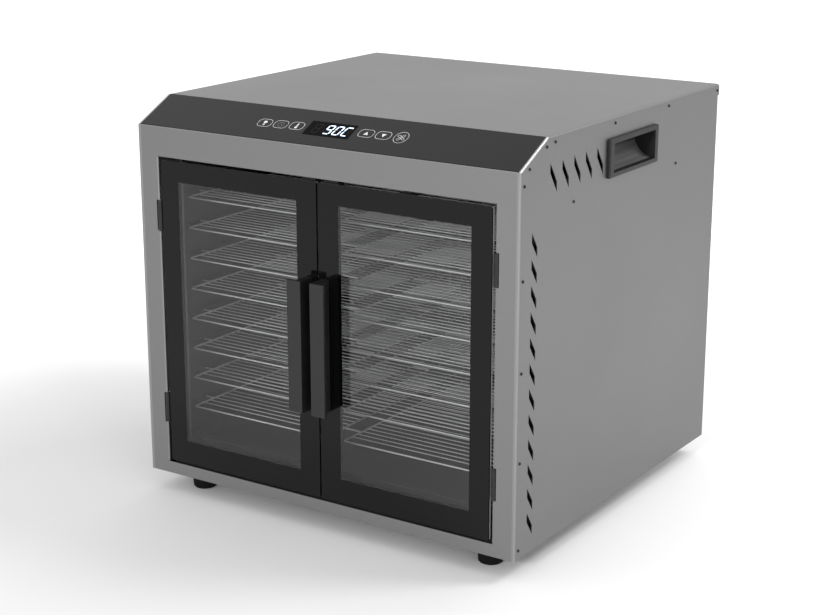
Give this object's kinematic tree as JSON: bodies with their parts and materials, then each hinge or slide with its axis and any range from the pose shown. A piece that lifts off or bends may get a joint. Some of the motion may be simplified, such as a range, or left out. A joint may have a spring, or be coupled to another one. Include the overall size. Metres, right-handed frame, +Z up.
{
  "type": "food dehydrator",
  "caption": "Countertop cabinet food dehydrator with two glass doors, stacked wire trays over a drip tray, a rear fan and a sloped touch panel.",
  "frame": {"origin": "on the floor plane under the feet, at the middle of the object's bounding box", "axes": "+Z up, -Y towards the person in front of the doors, +X to that person's right"},
  "size_m": [0.458, 0.4464, 0.4204],
  "materials": {
    "satin_steel": "satin brushed stainless sheet",
    "bare_steel": "plain stainless sheet",
    "stainless_wire": "polished stainless wire",
    "black_plastic": "satin black",
    "panel_black": "satin near-black overlay",
    "lens_black": "gloss black",
    "door_glass": "clear tempered glass with a printed black border",
    "hinge_black": "satin black",
    "rubber_black": "matt",
    "circuit_green": "solder-masked laminate",
    "motor_grey": "plain grey",
    "fan_aluminium": "stamped, matt",
    "heater_steel": "heat-darkened sheath",
    "ceramic_white": "unglazed ceramic"
  },
  "bodies": {
    "cabinet": {"outer_shell": "satin_steel", "front_frame": "satin_steel", "base_pan": "satin_steel", "rear_panel": "satin_steel", "left_chamber_wall": "bare_steel", "right_chamber_wall": "bare_steel", "chamber_floor": "bare_steel", "chamber_ceiling": "bare_steel", "chamber_back_wall": "bare_steel", "motor_bracket": "bare_steel", "control_panel": "panel_black", "display_lens": "lens_black", "display_module": "black_plastic", "control_board": "circuit_green", "power_board": "circuit_green", "power_inlet": "black_plastic", "thermal_cutout": "black_plastic", "temperature_probe": "stainless_wire", "heating_element": "heater_steel", "heater_terminal_block": "ceramic_white", "fan_motor": "motor_grey", "left_carry_handle": "black_plastic", "left_magnet_catch": "black_plastic", "left_lower_frame_leaf": "hinge_black", "left_lower_hinge_pin": "stainless_wire", "left_upper_frame_leaf": "hinge_black", "left_upper_hinge_pin": "stainless_wire", "front_left_foot": "rubber_black", "rear_left_foot": "rubber_black", "right_carry_handle": "black_plastic", "right_magnet_catch": "black_plastic", "right_lower_frame_leaf": "hinge_black", "right_lower_hinge_pin": "stainless_wire", "right_upper_frame_leaf": "hinge_black", "right_upper_hinge_pin": "stainless_wire", "front_right_foot": "rubber_black", "rear_right_foot": "rubber_black"},
    "fan": {"fan_impeller": "fan_aluminium", "fan_shaft": "stainless_wire"},
    "left_door": {"left_door_glass": "door_glass", "left_door_handle": "black_plastic", "left_strike_plate": "bare_steel", "left_lower_door_leaf": "hinge_black", "left_upper_door_leaf": "hinge_black"},
    "right_door": {"right_door_glass": "door_glass", "right_door_handle": "black_plastic", "right_strike_plate": "bare_steel", "right_lower_door_leaf": "hinge_black", "right_upper_door_leaf": "hinge_black"},
    "drip_pan": {"drip_tray": "bare_steel"},
    "tray_1": {"wire_tray_1": "stainless_wire"},
    "tray_2": {"wire_tray_2": "stainless_wire"},
    "tray_3": {"wire_tray_3": "stainless_wire"},
    "tray_4": {"wire_tray_4": "stainless_wire"},
    "tray_5": {"wire_tray_5": "stainless_wire"},
    "tray_6": {"wire_tray_6": "stainless_wire"},
    "tray_7": {"wire_tray_7": "stainless_wire"},
    "tray_8": {"wire_tray_8": "stainless_wire"}
  },
  "joints": [
    {"name": "left_door_hinge", "type": "hinge", "parent": "cabinet", "child": "left_door", "pos_m": [-0.201, -0.1992, 0.199], "axis": [0, 0, -1], "range_deg": [0, 110]},
    {"name": "right_door_hinge", "type": "hinge", "parent": "cabinet", "child": "right_door", "pos_m": [0.201, -0.1992, 0.199], "axis": [0, 0, 1], "range_deg": [0, 110]},
    {"name": "fan_spin", "type": "hinge", "parent": "cabinet", "child": "fan", "pos_m": [0, 0.1668, 0.201], "axis": [0, 1, 0], "continuous": true},
    {"name": "drip_tray_slide", "type": "slide", "parent": "cabinet", "child": "drip_pan", "axis": [0, -1, 0], "range_m": [0, 0.015]},
    {"name": "wire_tray_1_slide", "type": "slide", "parent": "cabinet", "child": "tray_1", "axis": [0, -1, 0], "range_m": [0, 0.015]},
    {"name": "wire_tray_2_slide", "type": "slide", "parent": "cabinet", "child": "tray_2", "axis": [0, -1, 0], "range_m": [0, 0.015]},
    {"name": "wire_tray_3_slide", "type": "slide", "parent": "cabinet", "child": "tray_3", "axis": [0, -1, 0], "range_m": [0, 0.015]},
    {"name": "wire_tray_4_slide", "type": "slide", "parent": "cabinet", "child": "tray_4", "axis": [0, -1, 0], "range_m": [0, 0.015]},
    {"name": "wire_tray_5_slide", "type": "slide", "parent": "cabinet", "child": "tray_5", "axis": [0, -1, 0], "range_m": [0, 0.015]},
    {"name": "wire_tray_6_slide", "type": "slide", "parent": "cabinet", "child": "tray_6", "axis": [0, -1, 0], "range_m": [0, 0.015]},
    {"name": "wire_tray_7_slide", "type": "slide", "parent": "cabinet", "child": "tray_7", "axis": [0, -1, 0], "range_m": [0, 0.015]},
    {"name": "wire_tray_8_slide", "type": "slide", "parent": "cabinet", "child": "tray_8", "axis": [0, -1, 0], "range_m": [0, 0.015]}
  ]
}
